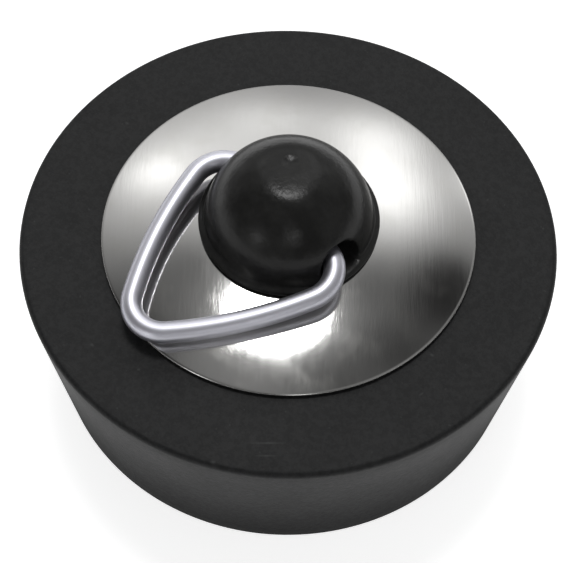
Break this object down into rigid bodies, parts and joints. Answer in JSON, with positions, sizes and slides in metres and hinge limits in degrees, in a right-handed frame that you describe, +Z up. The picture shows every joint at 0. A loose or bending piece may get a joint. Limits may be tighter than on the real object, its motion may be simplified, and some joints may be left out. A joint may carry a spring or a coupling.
{
  "type": "drain stopper",
  "caption": "Tapered black rubber stopper for a sink or basin drain, with a domed steel cover plate, a rubber knob and a hinged wire pull ring.",
  "frame": {"origin": "centre of the plug's base, on the surface that it stands on", "axes": "+Z up along the plug's axis. The pull ring hinges about a line along X and at rest lies towards -Y."},
  "size_m": [0.0478, 0.0478, 0.0269],
  "materials": {
    "plug_rubber": "matte moulded rubber",
    "plate_steel": "satin polished stainless steel",
    "knob_rubber": "smooth, slightly glossy moulded rubber",
    "wire_steel": "bright drawn stainless wire"
  },
  "bodies": {
    "plug": {"plug_body": "plug_rubber", "cover_plate": "plate_steel", "knob": "knob_rubber"},
    "ring": {"pull_ring": "wire_steel"}
  },
  "joints": [
    {"name": "ring_swing", "type": "hinge", "parent": "plug", "child": "ring", "pos_m": [0, -0.00025, 0.0212], "axis": [-1, 0, 0], "range_deg": [0, 195.5]}
  ]
}
